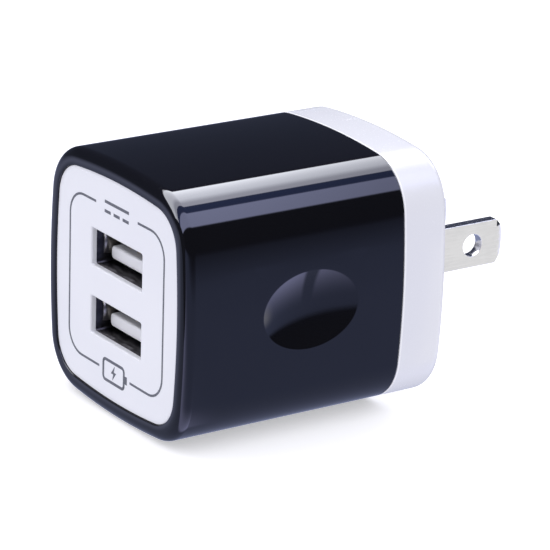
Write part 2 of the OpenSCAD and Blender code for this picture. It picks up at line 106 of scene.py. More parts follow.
def freshEdges(bm, before):
    return [e for e in bm.edges if e not in before]


def mirrored(bm, before, axes="XZ"):
    # closes a quarter loop by mirroring it over X and then over Z, or a half loop over one axis
    for axis in axes:
        edges = freshEdges(bm, before)
        verts = list({v for e in edges for v in e.verts})
        bmesh.ops.mirror(bm, geom=verts + edges, merge_dist=0.001, axis=axis)
    return freshEdges(bm, before)


def bodyLoop(bm, inset, y):
    ax, bz, cx, cz, turnSide, turnTop = outlineArcs()
    before = set(bm.edges)
    vert = bm.verts.new((casing["width"] / 2 - inset, y, 0))
    vert = sweep(bm, vert, (ax, y, 0), turnSide, casing["sideSteps"])
    vert = sweep(bm, vert, (cx, y, cz), turnTop - turnSide, casing["cornerSteps"])
    sweep(bm, vert, (0, y, bz), math.pi / 2 - turnTop, casing["sideSteps"])
    return mirrored(bm, before)


def rectLoop(bm, x, z, w, h, y, corner=0.0, steps=5):
    # rectangle across Y, with round corners if corner is given
    before = set(bm.edges)
    start = bm.verts.new((w / 2, y, 0))
    bend = bm.verts.new((w / 2, y, h / 2 - corner))
    bm.edges.new((start, bend))
    if corner > 0:
        bend = sweep(bm, bend, (w / 2 - corner, y, h / 2 - corner), math.pi / 2, steps)
    end = bm.verts.new((0, y, h / 2))
    bm.edges.new((bend, end))
    edges = mirrored(bm, before)
    bmesh.ops.translate(bm, verts=list({v for e in edges for v in e.verts}), vec=(x, 0, z))
    return edges


def drawLoop(bm, edges, shift):
    # pulls a loop of edges along shift and returns the new loop
    made = bmesh.ops.extrude_edge_only(bm, edges=edges)["geom"]
    verts = vertsIn(made)
    bmesh.ops.translate(bm, verts=verts, vec=shift)
    moved = set(verts)
    return [e for e in made if isinstance(e, bmesh.types.BMEdge) and moved.issuperset(e.verts)]


def bridge(bm, first, second):
    bmesh.ops.bridge_loops(bm, edges=list(first) + list(second))
    return second


def fill(bm, *loops):
    edges = [e for loop in loops for e in loop]
    bmesh.ops.triangle_fill(bm, use_beauty=True, use_dissolve=False, edges=edges)


def sliceAt(bm, spot, normal):
    # cuts every face along a plane and keeps both sides
    bmesh.ops.bisect_plane(bm, geom=list(bm.verts) + list(bm.edges) + list(bm.faces), dist=1e-5,
                           plane_co=spot, plane_no=normal)


def vertsIn(made):
    return [v for v in made if isinstance(v, bmesh.types.BMVert)]


def roundEdges(bm, edges, size, segments):
    bmesh.ops.bevel(bm, geom=list(edges), offset=size, offset_type="OFFSET", segments=segments,
                    profile=0.5, affect="EDGES", material=-1, clamp_overlap=True)


def block(bm, low, high):
    # box between two corners
    made = bmesh.ops.create_cube(bm, size=1.0)["verts"]
    low, high = Vector(low), Vector(high)
    bmesh.ops.scale(bm, vec=high - low, verts=made)
    bmesh.ops.translate(bm, vec=(low + high) / 2, verts=made)
    return made


def faceOutward(bm):
    # recalculates normals, then turns round any closed island whose volume comes out negative
    bmesh.ops.recalc_face_normals(bm, faces=bm.faces)
    left = set(bm.faces)
    while left:
        island, volume, queue = [], 0, [left.pop()]
        while queue:
            face = queue.pop()
            island.append(face)
            first, *rest = [v.co for v in face.verts]
            volume += sum(first.dot(b.cross(c)) for b, c in zip(rest, rest[1:]))
            near = {f for e in face.edges for f in e.link_faces} & left
            left -= near
            queue += near
        if volume < 0:
            bmesh.ops.reverse_faces(bm, faces=island)


def finishPiece(bm, name, slot, nodes, weighted=True, crease=40):
    bmesh.ops.scale(bm, vec=(0.001, 0.001, 0.001), verts=bm.verts)
    bmesh.ops.remove_doubles(bm, verts=bm.verts, dist=1e-7)
    faceOutward(bm)
    mesh = bpy.data.meshes.new(name)
    for face in bm.faces:
        face.smooth = True
    for edge in bm.edges:
        edge.smooth = edge.calc_face_angle(0) <= math.radians(crease)
    bm.to_mesh(mesh)
    bm.free()
    mesh.materials.append(finishes[slot] if slot else printFinish)
    piece = bpy.data.objects.new(name, mesh)
    bpy.context.scene.collection.objects.link(piece)
    if weighted:
        tidy = piece.modifiers.new("evenShading", "WEIGHTED_NORMAL")
        tidy.keep_sharp = True
        tidy.weight = 60
    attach(piece, "root")
    if nodes:
        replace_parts(piece, *nodes)
    print("piece", name, len(mesh.polygons), "faces")
    return piece


class Signal:
    # one output socket, with arithmetic that adds Math nodes
    def __init__(self, finish, socket):
        self.finish = finish
        self.socket = socket

    def maths(self, operation, first, second):
        return self.finish.maths(operation, first, second)

    def __add__(self, other):
        return self.maths("ADD", self, other)

    def __radd__(self, other):
        return self.maths("ADD", other, self)

    def __sub__(self, other):
        return self.maths("SUBTRACT", self, other)

    def __rsub__(self, other):
        return self.maths("SUBTRACT", other, self)

    def __mul__(self, other):
        return self.maths("MULTIPLY", self, other)

    def __rmul__(self, other):
        return self.maths("MULTIPLY", other, self)

    def __truediv__(self, other):
        return self.maths("DIVIDE", self, other)

    def __abs__(self):
        return self.finish.add("ShaderNodeMath", {"operation": "ABSOLUTE"}, {0: self})

    def ramp(self, low, high, start=0.0, end=1.0):
        # smooth step from start at low to end at high
        return self.finish.add("ShaderNodeMapRange", {"interpolation_type": "SMOOTHSTEP"}, {
            "Value": self, "From Min": low, "From Max": high, "To Min": start, "To Max": end})


class Finish:
    # one material under construction
    def __init__(self, name):
        self.material = bpy.data.materials.new(name)
        self.material.use_nodes = True
        self.tree = self.material.node_tree
        self.tree.nodes.clear()
        self.spot = self.add("ShaderNodeTexCoord", {}, {}, "Object")

    def add(self, kind, settings, sockets, out=0):
        made = self.tree.nodes.new(kind)
        for key, value in settings.items():
            if key == "stops":
                for stop, (place, colour) in zip(self.stopsOf(made, len(value)), value):
                    stop.position = place
                    stop.color = colour
            else:
                setattr(made, key, value)
        for key, value in sockets.items():
            if isinstance(value, Signal):
                self.tree.links.new(value.socket, made.inputs[key])
            else:
                made.inputs[key].default_value = value
        return Signal(self, made.outputs[out])

    def maths(self, operation, first, second):
        return self.add("ShaderNodeMath", {"operation": operation}, {0: first, 1: second})

    def stopsOf(self, made, count):
        while len(made.color_ramp.elements) < count:
            made.color_ramp.elements.new(0.5)
        return made.color_ramp.elements

    def stretched(self, x, y, z):
        return self.add("ShaderNodeMapping", {}, {"Vector": self.spot, "Scale": (x, y, z)})

    def noise(self, scale, detail=2.0, roughness=0.5, at=None):
        return self.add("ShaderNodeTexNoise", {}, {
            "Vector": at or self.spot, "Scale": scale, "Detail": detail, "Roughness": roughness})

    def cells(self, scale, feature="F1", out="Distance", at=None):
        return self.add("ShaderNodeTexVoronoi", {"feature": feature},
                        {"Vector": at or self.spot, "Scale": scale}, out)

    def axis(self, index, at=None):
        return self.add("ShaderNodeSeparateXYZ", {}, {"Vector": at or self.spot}, index)

    def mix(self, share, first, second):
        return self.add("ShaderNodeMix", {"data_type": "RGBA"}, {0: share, 6: first, 7: second}, 2)

    def bump(self, height, distance, strength=1.0, under=None):
        sockets = {"Height": height, "Distance": distance, "Strength": strength}
        if under:
            sockets["Normal"] = under
        return self.add("ShaderNodeBump", {}, sockets)

    def surface(self, **sockets):
        names = {"colour": "Base Color", "roughness": "Roughness", "metallic": "Metallic",
                 "normal": "Normal", "ior": "IOR", "coat": "Coat Weight", "subsurface": "Subsurface Weight",
                 "depth": "Subsurface Radius", "depthScale": "Subsurface Scale"}
        body = self.add("ShaderNodeBsdfPrincipled", {}, {names[k]: v for k, v in sockets.items()})
        self.close(body)
        return self.material

    def close(self, body):
        made = self.tree.nodes.new("ShaderNodeOutputMaterial")
        self.tree.links.new(body.socket, made.inputs["Surface"])


def rgb(red, green, blue):
    return (red, green, blue, 1.0)


glossLook = {
    "base": rgb(0.0062, 0.0063, 0.0084),
    "deep": rgb(0.0048, 0.0049, 0.0068),
    "roughness": 0.035,
    "ior": 1.5,
}


def paintGloss():
    paint = Finish("blackGloss")
    cloud = paint.noise(90, 3)
    scratch = paint.noise(900, 2, 0.6, paint.stretched(1, 0.06, 1)).ramp(0.66, 0.74)
    dust = paint.cells(900).ramp(0.06, 0.02)
    specks = dust * paint.noise(300, 1).ramp(0.55, 0.62)
    rough = glossLook["roughness"] + cloud * 0.014 + scratch * 0.05 + specks * 0.16
    ripple = paint.bump(paint.noise(210, 1), 0.00001, 0.25)
    return paint.surface(colour=paint.mix(cloud, glossLook["base"], glossLook["deep"]),
                         roughness=rough, ior=glossLook["ior"], normal=ripple)


steelLook = {
    # painted shade and light: the shell walls are painted near black for the shade inside the port, the
    # spring leaves a lighter lit colour
    "dark": rgb(0.050, 0.047, 0.048),
    "shadedWallStain": rgb(0.030, 0.028, 0.029),
    "leaf": rgb(0.27, 0.25, 0.22),
    "leafShade": rgb(0.20, 0.19, 0.165),
    "roughness": 0.30,
    "wall": 0.0059,  # distance of the side walls from the middle
    "leafHalf": 0.0021,
    "blend": (0.00012, 0.0001),
}
portMiddle = (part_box("usb_shell_upper")[0].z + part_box("usb_shell_upper")[1].z) / 2


# painted highlight: a thin near white strip along the cap's front edge at the seam, standing for light
# caught by the rounded edge
whiteLook = {
    "seamHighlight": rgb(0.95, 0.95, 0.97),
    "seamHighlightBlend": 0.00012,
    "seamHighlightWidth": 0.0003,
}


def paintWhite(name, light, shade, roughness, rim=None, **body):
    # moulded white plastic with a few rubbed marks, and a painted highlight: a near white strip in front of
    # rim
    paint = Finish(name)
    cloud = paint.noise(70, 4)
    grain = paint.noise(5200, 2)
    rub = paint.noise(420, 3, 0.65, paint.stretched(1, 0.25, 1)).ramp(0.6, 0.78)
    colour = paint.mix(cloud.ramp(0.35, 0.7), light, shade)
    if rim is not None:
        # painted highlight: everything in front of rim is painted near white
        seamHighlit = paint.axis(1).ramp(rim, rim - whiteLook["seamHighlightBlend"])
        colour = paint.mix(seamHighlit, colour, whiteLook["seamHighlight"])
    return paint.surface(colour=colour, roughness=roughness + grain * 0.08 + rub * 0.015,
                         normal=paint.bump(grain, 0.000006, 0.3), ior=1.46, **body)


def paintPrint():
    paint = Finish("greyPrint")
    speckle = paint.noise(3500, 3)
    colour = paint.mix(speckle.ramp(0.35, 0.7), rgb(0.10, 0.105, 0.12), rgb(0.135, 0.14, 0.16))
    return paint.surface(colour=colour, roughness=0.5 + speckle * 0.2)


def paintMetal(name, light, shade, roughness, brush=(1, 0.04, 1), worn=0.1):
    paint = Finish(name)
    lines = paint.noise(5200, 3, 0.6, paint.stretched(*brush))
    stain = paint.noise(350, 4, 0.6)
    pits = paint.cells(1600).ramp(0.08, 0.03) * worn
    colour = paint.mix((lines * 0.5 + stain * 0.5).ramp(0.35, 0.65), light, shade)
    rough = roughness + lines * 0.09 + stain * 0.06 + pits
    return paint.surface(colour=colour, metallic=1.0, roughness=rough,
                         normal=paint.bump(lines + pits, 0.000004, 0.45))


def paintSteel():
    # plated shell painted near black, a painted shade for the inside of the port; the spring leaves
    # standing off its walls are painted lighter, a painted highlight where they catch the light
    paint = Finish("portSteel")
    lines = paint.noise(5200, 3, 0.6, paint.stretched(1, 0.05, 1))
    stain = paint.noise(900, 3, 0.6)
    height = abs(abs(paint.axis(2)) - abs(portMiddle))
    wall, half, blend = steelLook["wall"], steelLook["leafHalf"], steelLook["blend"]
    # painted highlight: the side spring leaves, inside the walls near the port's middle height, get the
    # lighter colour
    leaf = abs(paint.axis(0)).ramp(wall, wall - blend[0]) * height.ramp(half, half - blend[1])
    dark = paint.mix(stain.ramp(0.35, 0.65), steelLook["dark"], steelLook["shadedWallStain"])
    pale = paint.mix(lines, steelLook["leaf"], steelLook["leafShade"])
    return paint.surface(colour=paint.mix(leaf, dark, pale), metallic=1.0,
                         roughness=steelLook["roughness"] + lines * 0.1,
                         normal=paint.bump(lines, 0.000003, 0.4))


def paintMoulded(name, light, shade, roughness):
    # filled plastic body with a matt, faintly pitted skin
    paint = Finish(name)
    grain = paint.noise(4200, 3, 0.65)
    cloud = paint.noise(260, 3)
    return paint.surface(colour=paint.mix(cloud.ramp(0.3, 0.75), light, shade),
                         roughness=roughness + grain * 0.15, normal=paint.bump(grain, 0.00001, 0.5))


def paintBoard():
    # solder mask with copper runs under it and tinned rings
    paint = Finish("circuitBoard")
    runs = paint.add("ShaderNodeTexBrick", {"offset": 0.37, "squash": 1.6, "squash_frequency": 3}, {
        "Vector": paint.spot, "Color1": rgb(1, 1, 1), "Color2": rgb(0.7, 0.7, 0.7),
        "Mortar": rgb(0, 0, 0), "Scale": 320, "Mortar Size": 0.035, "Mortar Smooth": 0.2,
        "Brick Width": 1.3, "Row Height": 0.42}, "Fac")
    weave = paint.noise(1500, 2)
    rings = paint.cells(240)
    ring = rings.ramp(0.10, 0.12) * rings.ramp(0.20, 0.18)
    mask = paint.mix(runs, rgb(0.012, 0.12, 0.045), rgb(0.006, 0.06, 0.024))
    cloudy = paint.mix(weave * 0.35, mask, rgb(0.02, 0.15, 0.06))
    return paint.surface(colour=paint.mix(ring, cloudy, rgb(0.55, 0.55, 0.56)), metallic=ring,
                         roughness=0.32 + weave * 0.12, normal=paint.bump(runs + weave * 0.1, 0.00003, 0.6))


def paintFerrite():
    paint = Finish("ferrite")
    grain = paint.noise(6000, 4, 0.7)
    chips = paint.cells(900).ramp(0.1, 0.04)
    return paint.surface(colour=paint.mix(grain, rgb(0.018, 0.018, 0.02), rgb(0.045, 0.044, 0.046)),
                         roughness=0.55 + grain * 0.2,
                         normal=paint.bump(grain + chips * -0.6, 0.00002, 0.7))


def paintWinding():
    # enamelled copper turns, side by side along Y
    paint = Finish("copperWire")
    turns = paint.add("ShaderNodeTexWave", {"bands_direction": "Y", "wave_profile": "SIN"},
                      {"Vector": paint.spot, "Scale": 1250, "Distortion": 0.4, "Detail": 1.0}, "Fac")
    tint = paint.noise(900, 2)
    return paint.surface(colour=paint.mix(turns, rgb(0.18, 0.045, 0.015), rgb(0.62, 0.24, 0.10)),
                         metallic=0.85, roughness=0.26 + tint * 0.12,
                         normal=paint.bump(turns, 0.00008, 0.8))


def paintTape():
    # polyester tape: lapped edges and small creases
    paint = Finish("yellowTape")
    lap = paint.add("ShaderNodeTexWave", {"bands_direction": "Z", "wave_profile": "SAW"},
                    {"Vector": paint.spot, "Scale": 130, "Distortion": 1.2, "Detail": 2.0}, "Fac")
    crease = paint.noise(700, 4, 0.6)
    return paint.surface(colour=paint.mix(crease, rgb(0.72, 0.50, 0.06), rgb(0.80, 0.60, 0.12)),
                         roughness=0.25 + crease * 0.15, coat=0.3,
                         normal=paint.bump(lap * 0.4 + crease, 0.00004, 0.5))


def paintCan(name, node, sleeve, stripe):
    # shrink sleeve with a pale stripe down one side and a bare top
    low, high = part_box(node)
    paint = Finish(name)
    height = paint.axis(2)
    side = paint.axis(0) - (low.x + high.x) / 2
    bare = height.ramp(high.z - 0.0004, high.z - 0.0002)
    band = side.ramp((high.x - low.x) * 0.36, (high.x - low.x) * 0.38)
    dash = paint.add("ShaderNodeTexWave", {"bands_direction": "Z"},
                     {"Vector": paint.spot, "Scale": 190}, "Fac")
    film = paint.noise(600, 3)
    paler = tuple(c * 1.35 for c in sleeve[:3]) + (1,)
    wrap = paint.mix(band * dash.ramp(0.3, 0.4), paint.mix(film, sleeve, paler), stripe)
    return paint.surface(colour=paint.mix(bare, wrap, rgb(0.72, 0.72, 0.74)), metallic=bare,
                         roughness=0.3 + film * 0.15, coat=0.2, normal=paint.bump(film, 0.00002, 0.4))


def paintDisc():
    # dipped epoxy with a wavy skin
    paint = Finish("discBlue")
    skin = paint.noise(420, 4, 0.55)
    return paint.surface(colour=paint.mix(skin, rgb(0.02, 0.10, 0.42), rgb(0.035, 0.16, 0.55)),
                         roughness=0.3 + skin * 0.15, coat=0.3, normal=paint.bump(skin, 0.00012, 0.5))


def paintResistor():
    # coated body with colour bands across its length
    low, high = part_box("fuse_resistor")
    paint = Finish("resistorBody")
    along = (paint.axis(1) - low.y) / (high.y - low.y)
    skin = paint.noise(900, 3)
    bands = paint.add("ShaderNodeValToRGB", {"stops": [
        (0.0, rgb(0.6, 0.6, 0.62)), (0.13, rgb(0.10, 0.26, 0.24)), (0.26, rgb(0.30, 0.10, 0.03)),
        (0.33, rgb(0.10, 0.26, 0.24)), (0.42, rgb(0.01, 0.01, 0.01)), (0.49, rgb(0.10, 0.26, 0.24)),
        (0.58, rgb(0.55, 0.36, 0.05)), (0.65, rgb(0.10, 0.26, 0.24)), (0.87, rgb(0.6, 0.6, 0.62))]},
        {"Fac": along}, "Color")
    bands.socket.node.color_ramp.interpolation = "CONSTANT"
    return paint.surface(colour=paint.mix(skin * 0.3, bands, rgb(0.05, 0.12, 0.11)),
                         roughness=0.35 + skin * 0.15, normal=paint.bump(skin, 0.00003, 0.5))


def paintChip(name, light, shade):
    # small ceramic part with a cloudy, grainy skin
    paint = Finish(name)
    grain = paint.noise(3800, 3)
    edge = paint.noise(1300, 2).ramp(0.45, 0.55)
    return paint.surface(colour=paint.mix(grain, light, shade), roughness=0.4 + grain * 0.2 + edge * 0.05,
                         normal=paint.bump(grain, 0.00001, 0.5))


finishes = {
    "black_gloss": paintGloss(),
    "white_face": paintWhite("whiteFace", rgb(0.80, 0.805, 0.835), rgb(0.78, 0.785, 0.82), 0.30),
    # the rear cap gets the painted highlight along its seam edge
    "white_cap": paintWhite("whiteCap", rgb(0.795, 0.80, 0.84), rgb(0.775, 0.78, 0.825), 0.22,
                            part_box("sleeve")[1].y + whiteLook["seamHighlightWidth"]),
    "plated_blade": paintMetal("platedBlade", rgb(0.66, 0.655, 0.66), rgb(0.61, 0.605, 0.61), 0.07),
    "spring_brass": paintMetal("springBrass", rgb(0.72, 0.50, 0.22), rgb(0.58, 0.38, 0.15), 0.24),
    "port_steel": paintSteel(),
    "port_plastic": paintWhite("portPlastic", rgb(0.90, 0.905, 0.93), rgb(0.87, 0.875, 0.91), 0.30,
                               subsurface=0.8, depth=(1.0, 1.0, 1.0), depthScale=0.0009),
    "gold_contact": paintMetal("goldContact", rgb(0.85, 0.58, 0.22), rgb(0.74, 0.48, 0.17), 0.18),
    "circuit_board": paintBoard(),
    "tinned_pin": paintMetal("tinnedPin", rgb(0.70, 0.69, 0.67), rgb(0.58, 0.58, 0.58), 0.22,
                             (1, 1, 0.1), 0.05),
    "ferrite": paintFerrite(),
    "bobbin_black": paintMoulded("bobbinBlack", rgb(0.012, 0.012, 0.013), rgb(0.022, 0.022, 0.024), 0.38),
    "copper_wire": paintWinding(),
    "yellow_tape": paintTape(),
    "sleeve_navy": paintCan("sleeveNavy", "input_capacitor_front",
                            rgb(0.012, 0.018, 0.05), rgb(0.5, 0.5, 0.52)),
    "sleeve_violet": paintCan("sleeveViolet", "output_capacitor_right",
                              rgb(0.10, 0.03, 0.16), rgb(0.6, 0.58, 0.62)),
    "disc_blue": paintDisc(),
    "resistor_green": paintResistor(),
    "moulded_white": paintMoulded("mouldedWhite", rgb(0.74, 0.74, 0.72), rgb(0.66, 0.66, 0.64), 0.45),
    "moulded_black": paintMoulded("mouldedBlack", rgb(0.010, 0.010, 0.011), rgb(0.020, 0.020, 0.022), 0.42),
    "chip_black": paintChip("chipBlack", rgb(0.012, 0.012, 0.013), rgb(0.03, 0.03, 0.032)),
    "chip_tan": paintChip("chipTan", rgb(0.42, 0.26, 0.12), rgb(0.34, 0.20, 0.09)),
}
printFinish = paintPrint()
print("finishes made:", len(finishes))


sleeveShape = {
    "lipRound": 1.5,
    "lipInner": 0.12,
    "seamRound": 0.22,
    "ledgeY": -39.7,
    "ledgeWidth": 3.2,
    "cavityY": -38.7,
    "railReach": 0.6,
    "railThickness": 1.0,
    "railTops": (-9.75, -12.05),
    "railFrom": -29.7,
    "railTo": -10.85,
    "railBury": 0.3,
    "boardWidth": 27.6,
    "firstRing": -37.0,
}

dish = {
    "length": 15.0,
    "height": 10.8,
    "depth": 1.3,
    "middle": -22.2,
    "blend": 0.035,
    "patchHalf": 9.0,
    "patchSkin": 0.7,
    "patchCells": 34,
    "patchStrips": 13,
    "warpFrom": 0.5,
    "warpFull": 0.9,
    "rings": (1.16, 1.10, 1.06, 1.04, 1.025, 1.014, 1.006, 1.0, 0.994, 0.986, 0.975, 0.96, 0.93,
              0.89, 0.84, 0.78, 0.71, 0.64, 0.56, 0.48, 0.40, 0.32, 0.24, 0.16, 0.08),
}


def arcRadius(chord, rise):
    return (chord * chord / 4 + rise * rise) / (2 * rise)


def sideFace(z):
    # distance of the bowed side from the middle plane at height z
    bow = casing["bowRadius"]
    return casing["width"] / 2 - bow + math.sqrt(bow * bow - z * z)


def dishFace(y, z):
    fall = casing["width"] / 2 - sideFace(dish["height"] / 2)
    roundH = arcRadius(dish["height"], dish["depth"] - fall)
    roundL = arcRadius(dish["length"], dish["depth"])
    reach = roundH - roundL + math.sqrt(max(roundL ** 2 - (y - dish["middle"]) ** 2, 0))
    return casing["width"] / 2 + roundH - dish["depth"] - math.sqrt(max(reach * reach - z * z, 0))


def dishRim(turn):
    # how far out along turn the dish meets the side, as a share of its oval
    low, high = 0.7, 1.3
    for _ in range(30):
        share = (low + high) / 2
        y = dish["middle"] + share * math.cos(turn) * dish["length"] / 2
        z = share * math.sin(turn) * dish["height"] / 2
        low, high = (share, high) if dishFace(y, z) < sideFace(z) else (low, share)
    return (low + high) / 2


def dishedSide(y, z):
    # the lower of side and dish, with a small round where they meet
    side, bowl = sideFace(z), dishFace(y, z)
    near = max(dish["blend"] - abs(side - bowl), 0) / dish["blend"]
    return min(side, bowl) - near * near * dish["blend"] / 4


def cutDish(bm, hand):
    # swaps a patch of the side for rings that follow the rim of the dish and close at its middle
    turnSide = outlineArcs()[4]
    reach = casing["bowRadius"] * math.sin(turnSide * dish["patchStrips"] / casing["sideSteps"])
    outer = casing["width"] / 2 - dish["patchSkin"]
    halfL, halfH = dish["length"] / 2, dish["height"] / 2
    inside = [f for f in bm.faces for c in [f.calc_center_median()] if c.x * hand > outer
              and abs(c.z) < reach and abs(c.y - dish["middle"]) < dish["patchHalf"]]
    bmesh.ops.delete(bm, geom=inside, context="FACES")
    rim = [e for e in bm.edges if e.is_boundary]
    place = Matrix(((0, 0, 1, hand * outer), (halfL, 0, 0, dish["middle"]), (0, halfH, 0, 0), (0, 0, 0, 1)))
    for share in dish["rings"]:
        before = set(bm.edges)
        last = share == dish["rings"][-1]
        made = bmesh.ops.create_circle(bm, cap_ends=last, cap_tris=True, segments=len(rim),
                                       radius=1.0, matrix=place)["verts"]
        for v in made:
            y, z = v.co.y - dish["middle"], v.co.z
            if math.hypot(y / halfL, z / halfH) > dish["warpFrom"]:
                warp = dishRim(math.atan2(z / halfH, y / halfL))
                if share <= dish["warpFull"]:
                    warp = 1 + (warp - 1) * share / dish["warpFull"]
                v.co.y = dish["middle"] + y * share * warp
                v.co.z = z * share * warp
            v.co.x = hand * dishedSide(v.co.y, v.co.z)
        ring = [e for e in bm.edges if e not in before and len(e.link_faces) < 2
                and all(math.hypot(v.co.y - dish["middle"], v.co.z) > 1e-4 for v in e.verts)]
        bridge(bm, rim, ring)
        rim = ring


def buildSleeve():
    bm = bmesh.new()
    front, seam, wall = casing["front"], casing["seam"], casing["wall"]
    lipWidth, ledge = casing["lipWidth"], sleeveShape["ledgeWidth"]
    cavityY, ledgeY = sleeveShape["cavityY"], sleeveShape["ledgeY"]
    frontOuter = bodyLoop(bm, 0, front)
    start, cells = dish["middle"] - dish["patchHalf"], dish["patchCells"]
    rows = [start + 2 * dish["patchHalf"] * i / cells for i in range(cells + 1)]
    stations = [front, sleeveShape["firstRing"]] + rows + [seam]
    rearOuter = frontOuter
    for a, b in zip(stations, stations[1:]):
        rearOuter = drawLoop(bm, rearOuter, (0, b - a, 0))
    frontInner = rearOuter
    for inset, y in ((wall, seam), (wall, cavityY), (ledge, cavityY), (ledge, ledgeY),
                     (lipWidth, ledgeY), (lipWidth, front)):
        frontInner = bridge(bm, frontInner, bodyLoop(bm, inset, y))
    bridge(bm, frontInner, frontOuter)
    for hand in (-1, 1):
        cutDish(bm, hand)
    faceOutward(bm)
    roundEdges(bm, frontOuter, sleeveShape["lipRound"], 14)
    roundEdges(bm, frontInner, sleeveShape["lipInner"], 3)
    roundEdges(bm, rearOuter, sleeveShape["seamRound"], 3)
    for hand in (-1, 1):
        for top in sleeveShape["railTops"]:
            near = sleeveShape["boardWidth"] / 2 - sleeveShape["railReach"]
            far = casing["width"] / 2 - wall + sleeveShape["railBury"]
            xs = sorted((hand * near, hand * far))
            block(bm, (xs[0], sleeveShape["railFrom"], top),
                  (xs[1], sleeveShape["railTo"], top + sleeveShape["railThickness"]))
    finishPiece(bm, "sleeveShell", "black_gloss", ["sleeve"])


buildSleeve()


plateShape = {
    "front": -41.3,
    "back": -39.7,
    "portWidth": 12.6,
    "portHeight": 5.15,
    "portCorner": 0.25,
    "portRound": 0.3,
    "edgeRound": 0.08,
    "border": 0.55,
    "pocketY": -40.45,
    "pocketWidth": 13.22,
    "pocketHeight": 5.84,
    "pocketCorner": 0.55,
    "legX": 5.0,
    "legWidth": 4.0,
    "legThickness": 1.1,
    "legLength": 3.4,
    "legTop": 14.2,
    "hookLift": 0.7,
    "hookFrom": -38.6,
    "hookTo": -37.7,
    "hookSlope": 0.3,
}

shellUpper = boxOf("usb_shell_upper")
shellLower = boxOf("usb_shell_lower")
portHeights = [(low.z + high.z) / 2 for low, high in (shellUpper, shellLower)]


def snapLeg(bm, x, hand):
    top, reach = plateShape["legTop"], plateShape["back"] + plateShape["legLength"]
    left, right = x - plateShape["legWidth"] / 2, x + plateShape["legWidth"] / 2
    zs = sorted((hand * (top - plateShape["legThickness"]), hand * top))
    block(bm, (left, plateShape["back"] - 0.01, zs[0]), (right, reach, zs[1]))
    start, end = plateShape["hookFrom"], plateShape["hookTo"]
    hook = block(bm, (left, start, hand * top - 0.01), (right, end, hand * top + 0.01))
    raised = [v for v in hook if v.co.z * hand > top and v.co.y < (start + end) / 2]
    bmesh.ops.translate(bm, verts=raised, vec=(0, plateShape["hookSlope"], hand * plateShape["hookLift"]))


def buildPlate():
    bm = bmesh.new()
    inset = casing["lipWidth"] + casing["plateGap"]
    front, back = plateShape["front"], plateShape["back"]
    edge = bodyLoop(bm, inset, front)
    border = bridge(bm, edge, bodyLoop(bm, inset + plateShape["border"], front))
    mouths, margins, backLoops = [], [], []
    w, h, corner = plateShape["portWidth"], plateShape["portHeight"], plateShape["portCorner"]
    grow = plateShape["border"] * 2
    for z in portHeights:
        mouth = rectLoop(bm, 0, z, w, h, front, corner)
        margin = rectLoop(bm, 0, z, w + grow, h + grow, front, corner + plateShape["border"])
        margins.append(bridge(bm, mouth, margin))
        throat = drawLoop(bm, mouth, (0, plateShape["pocketY"] - front, 0))
        pocket = rectLoop(bm, 0, z, plateShape["pocketWidth"], plateShape["pocketHeight"],
                          plateShape["pocketY"], plateShape["pocketCorner"])
        bridge(bm, throat, pocket)
        backLoops.append(drawLoop(bm, pocket, (0, back - plateShape["pocketY"], 0)))
        mouths.append(mouth)
    fill(bm, border, *margins)
    rim = drawLoop(bm, edge, (0, back - front, 0))
    fill(bm, rim, *backLoops)
    faceOutward(bm)
    for mouth in mouths:
        roundEdges(bm, mouth, plateShape["portRound"], 5)
    roundEdges(bm, edge, plateShape["edgeRound"], 2)
    for hand in (-1, 1):
        for x in (-plateShape["legX"], plateShape["legX"]):
            snapLeg(bm, x, hand)
    finishPiece(bm, "facePlate", "white_face", ["face_plate"])


buildPlate()


# the print is a line frame with two plain symbols
printShape = {
    "frameWidth": 23.5,
    "frameHeight": 22.6,
    "frameCorner": 3.3,
    "stroke": 0.33,
    "gapTop": 10.4,
    "gapBottom": 7.7,
    "thickness": 0.02,
    "symbolStroke": 0.42,
    "barLength": 6.0,
    "dashLength": 1.5,
    "dashDrop": 1.3,
    "cellWidth": 5.2,
    "cellHeight": 2.9,
    "cellCorner": 0.55,
    "cellShift": -0.2,
    "nubWidth": 0.55,
    "nubHeight": 1.1,
    "boltSize": 1.9,
}


def flatBar(bm, x0, x1, z0, z1):
    made = bmesh.ops.create_grid(bm, x_segments=1, y_segments=1, size=0.5,
                                 matrix=Matrix.Rotation(math.pi / 2, 4, "X"))["verts"]
    bmesh.ops.scale(bm, vec=(x1 - x0, 1, z1 - z0), verts=made)
    bmesh.ops.translate(bm, vec=((x0 + x1) / 2, plateShape["front"], (z0 + z1) / 2), verts=made)


def lineFrame(bm, x, z, w, h, corner, stroke):
    y = plateShape["front"]
    outer = rectLoop(bm, x, z, w + stroke, h + stroke, y, corner + stroke / 2, 8)
    inner = rectLoop(bm, x, z, w - stroke, h - stroke, y, corner - stroke / 2, 8)
    bridge(bm, outer, inner)


def openGap(bm, width, hand):
    # takes the middle out of the top or bottom line
    for x in (-width / 2, width / 2):
        sliceAt(bm, (x, 0, 0), (1, 0, 0))
    gone = [f for f in bm.faces for c in [f.calc_center_median()]
            if abs(c.x) < width / 2 and c.z * hand > 0]
    bmesh.ops.delete(bm, geom=gone, context="FACES")


def lightningBolt(bm, x, z, size):
    corners = [(0.14, 0.55), (-0.34, -0.08), (-0.04, -0.08), (-0.14, -0.55), (0.34, 0.08), (0.04, 0.08)]
    verts = [bm.verts.new((x + a * size, plateShape["front"], z + b * size)) for a, b in corners]
    bm.faces.new(verts)


